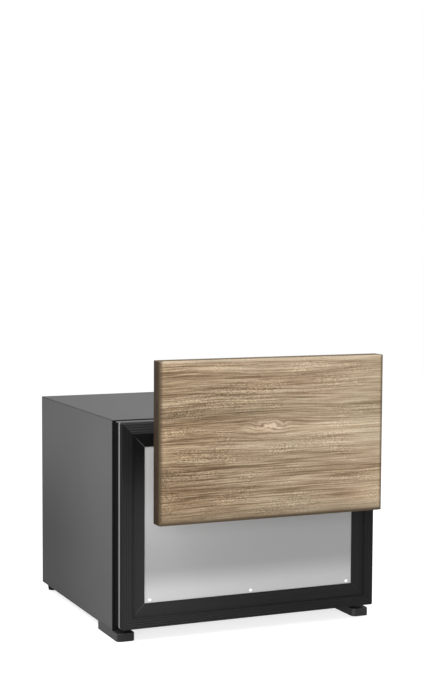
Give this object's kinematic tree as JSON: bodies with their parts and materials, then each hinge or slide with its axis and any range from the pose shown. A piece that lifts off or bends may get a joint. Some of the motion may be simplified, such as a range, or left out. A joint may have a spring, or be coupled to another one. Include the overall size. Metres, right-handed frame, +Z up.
{
  "type": "drawer minibar fridge",
  "caption": "Hotel minibar fridge that opens as a drawer on telescopic rails, with a mitred black front frame and a wooden decor panel held off in front.",
  "frame": {"origin": "centre of the bounding box of the whole object at floor level, with the decor panel in its taken-off place", "axes": "+Z up, the drawer opens towards -Y, +X to the right seen from the front"},
  "size_m": [0.44, 0.48, 0.4394],
  "materials": {
    "cabinet_paint": "satin",
    "rim_black": "satin",
    "black_plastic": "satin",
    "foot_paint": "satin",
    "foot_black": "matte",
    "seal_rubber": "matte",
    "frame_black": "satin",
    "silver_sheet": "satin",
    "skin_steel": "satin",
    "zinc_steel": "satin",
    "rail_steel": "satin",
    "screw_steel": "gloss",
    "raw_aluminium": "satin",
    "liner_plastic": "satin",
    "tub_plastic": "satin",
    "insulation": "matte",
    "milky_lens": "satin",
    "circuit_board": "satin",
    "ceramic_tile": "matte",
    "cable_black": "satin",
    "decor_wood": "satin",
    "pad_foam": "matte"
  },
  "bodies": {
    "cabinet_body": {"cabinet_shell": "cabinet_paint", "bottom_plate": "cabinet_paint", "rear_cover": "cabinet_paint", "front_rim": "rim_black", "cold_fan_frame": "black_plastic", "hot_fan_frame": "black_plastic", "power_inlet": "black_plastic", "power_supply_box": "black_plastic", "thermostat": "black_plastic", "front_foot_left": "foot_paint", "front_foot_right": "foot_paint", "rear_foot_left": "foot_black", "rear_foot_right": "foot_black", "rear_bulkhead": "zinc_steel", "outer_rail_left": "rail_steel", "outer_rail_right": "rail_steel", "foot_screws": "screw_steel", "rail_screws": "screw_steel", "rear_cover_screws": "screw_steel", "cold_sink": "raw_aluminium", "cold_block": "raw_aluminium", "hot_sink": "raw_aluminium", "inner_liner": "liner_plastic", "cold_air_cover": "liner_plastic", "light_housing": "liner_plastic", "temperature_sensor": "liner_plastic", "cabinet_foam": "insulation", "light_lens": "milky_lens", "reed_switch": "milky_lens", "power_board": "circuit_board", "led_board": "circuit_board", "peltier_module": "ceramic_tile", "internal_leads": "cable_black"},
    "drawer_body": {"gasket": "seal_rubber", "door_inner_panel": "black_plastic", "door_foam": "insulation", "door_skin": "skin_steel", "front_sheet": "silver_sheet", "sheet_rivets": "screw_steel", "corner_keys": "zinc_steel", "frame_top": "frame_black", "frame_bottom": "frame_black", "frame_left": "frame_black", "frame_right": "frame_black", "inner_rail_left": "rail_steel", "inner_rail_right": "rail_steel", "drawer_bracket_left": "zinc_steel", "drawer_bracket_right": "zinc_steel", "drawer_screws": "screw_steel", "drawer_tub": "tub_plastic", "bottle_divider_left": "tub_plastic", "bottle_divider_right": "tub_plastic", "switch_magnet": "screw_steel"},
    "middle_left_body": {"middle_rail_left": "rail_steel"},
    "middle_right_body": {"middle_rail_right": "rail_steel"},
    "panel_body": {"decor_panel": "decor_wood", "mounting_pads": "pad_foam"},
    "knob_body": {"thermostat_knob": "black_plastic"},
    "cold_rotor_body": {"cold_fan_rotor": "black_plastic"},
    "hot_rotor_body": {"hot_fan_rotor": "black_plastic"}
  },
  "joints": [
    {"name": "drawer_slide", "type": "slide", "parent": "cabinet_body", "child": "drawer_body", "axis": [0, -1, 0], "range_m": [0, 0.24]},
    {"name": "middle_left_slide", "type": "slide", "parent": "cabinet_body", "child": "middle_left_body", "axis": [0, -1, 0], "range_m": [0, 0.12]},
    {"name": "middle_right_slide", "type": "slide", "parent": "cabinet_body", "child": "middle_right_body", "axis": [0, -1, 0], "range_m": [0, 0.12]},
    {"name": "panel_fitting_slide", "type": "slide", "parent": "drawer_body", "child": "panel_body", "axis": [0.0148, 0.3998, -0.9165], "range_m": [0, 0.14883]},
    {"name": "thermostat_turn", "type": "hinge", "parent": "cabinet_body", "child": "knob_body", "pos_m": [0.138, -0.087, 0.298], "axis": [0, -1, 0], "range_deg": [0, 270]},
    {"name": "cold_fan_spin", "type": "hinge", "parent": "cabinet_body", "child": "cold_rotor_body", "pos_m": [0, 0.122, 0.213], "axis": [0, 1, 0], "continuous": true},
    {"name": "hot_fan_spin", "type": "hinge", "parent": "cabinet_body", "child": "hot_rotor_body", "pos_m": [0, 0.2245, 0.213], "axis": [0, 1, 0], "continuous": true}
  ],
  "couplings": [
    {"joint": "middle_left_slide", "follows": "drawer_slide", "ratio": 0.5},
    {"joint": "middle_right_slide", "follows": "drawer_slide", "ratio": 0.5}
  ]
}
